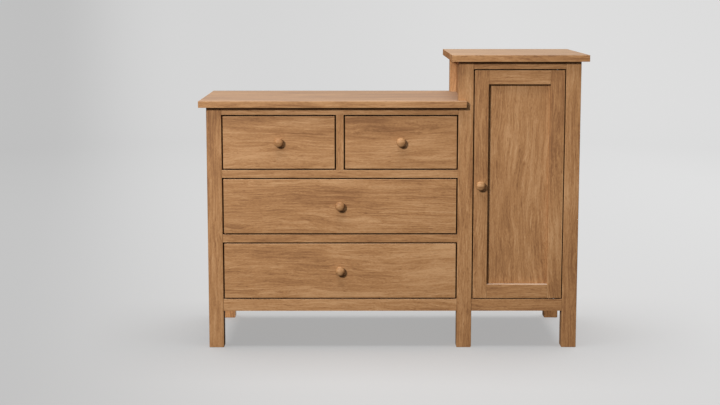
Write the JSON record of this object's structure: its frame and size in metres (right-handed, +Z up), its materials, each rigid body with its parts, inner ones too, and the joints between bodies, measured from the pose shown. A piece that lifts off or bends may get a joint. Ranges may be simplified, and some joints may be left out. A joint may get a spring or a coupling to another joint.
{
  "type": "dresser with cupboard",
  "caption": "Low chest of drawers joined to a taller cupboard with a framed door, on square post legs, with overhanging tops and round wooden knobs.",
  "frame": {"origin": "on the floor, under the middle of the whole outline, knobs included", "axes": "+X to the right as seen from the front, +Y to the back, +Z up; the drawers open towards -Y"},
  "size_m": [1.35, 0.558, 1.0338],
  "materials": {
    "case_wood": "satin",
    "box_wood": "matte",
    "back_wood": "matte",
    "steel": "satin",
    "magnet_case": "matte"
  },
  "bodies": {
    "carcass": {"post_front_left": "case_wood", "post_back_left": "case_wood", "post_front_middle": "case_wood", "post_back_middle": "case_wood", "post_front_right": "case_wood", "post_back_right": "case_wood", "side_panel_left": "case_wood", "side_panel_middle": "case_wood", "side_panel_right": "case_wood", "back_panel_low": "back_wood", "back_panel_tall": "back_wood", "low_top": "case_wood", "tall_top": "case_wood", "rail_low_top": "case_wood", "rail_low_upper": "case_wood", "rail_low_lower": "case_wood", "rail_low_bottom": "case_wood", "rail_tall_top": "case_wood", "rail_tall_bottom": "case_wood", "drawer_divider": "case_wood", "cupboard_floor": "case_wood", "cupboard_shelf": "case_wood", "drawer_top_left_runner": "box_wood", "drawer_top_right_runner": "box_wood", "drawer_middle_runner": "box_wood", "drawer_bottom_runner": "box_wood", "pivot_top": "steel", "pivot_bottom": "steel", "catch_magnet": "magnet_case"},
    "door": {"door_stile_left": "case_wood", "door_stile_right": "case_wood", "door_rail_top": "case_wood", "door_rail_bottom": "case_wood", "door_panel": "case_wood", "door_knob": "case_wood", "catch_strike": "steel"},
    "drawer_top_left": {"drawer_top_left_front": "case_wood", "drawer_top_left_side_left": "box_wood", "drawer_top_left_side_right": "box_wood", "drawer_top_left_back": "box_wood", "drawer_top_left_bottom": "box_wood", "drawer_top_left_knob": "case_wood"},
    "drawer_top_right": {"drawer_top_right_front": "case_wood", "drawer_top_right_side_left": "box_wood", "drawer_top_right_side_right": "box_wood", "drawer_top_right_back": "box_wood", "drawer_top_right_bottom": "box_wood", "drawer_top_right_knob": "case_wood"},
    "drawer_middle": {"drawer_middle_front": "case_wood", "drawer_middle_side_left": "box_wood", "drawer_middle_side_right": "box_wood", "drawer_middle_back": "box_wood", "drawer_middle_bottom": "box_wood", "drawer_middle_knob": "case_wood"},
    "drawer_bottom": {"drawer_bottom_front": "case_wood", "drawer_bottom_side_left": "box_wood", "drawer_bottom_side_right": "box_wood", "drawer_bottom_back": "box_wood", "drawer_bottom_bottom": "box_wood", "drawer_bottom_knob": "case_wood"}
  },
  "joints": [
    {"name": "drawer_top_left_slide", "type": "slide", "parent": "carcass", "child": "drawer_top_left", "axis": [0, -1, 0], "range_m": [0, 0.35]},
    {"name": "drawer_top_right_slide", "type": "slide", "parent": "carcass", "child": "drawer_top_right", "axis": [0, -1, 0], "range_m": [0, 0.35]},
    {"name": "drawer_middle_slide", "type": "slide", "parent": "carcass", "child": "drawer_middle", "axis": [0, -1, 0], "range_m": [0, 0.35]},
    {"name": "drawer_bottom_slide", "type": "slide", "parent": "carcass", "child": "drawer_bottom", "axis": [0, -1, 0], "range_m": [0, 0.35]},
    {"name": "door_hinge", "type": "hinge", "parent": "carcass", "child": "door", "pos_m": [0.5694, -0.24, 0], "axis": [0, 0, 1], "range_deg": [0, 110]}
  ]
}
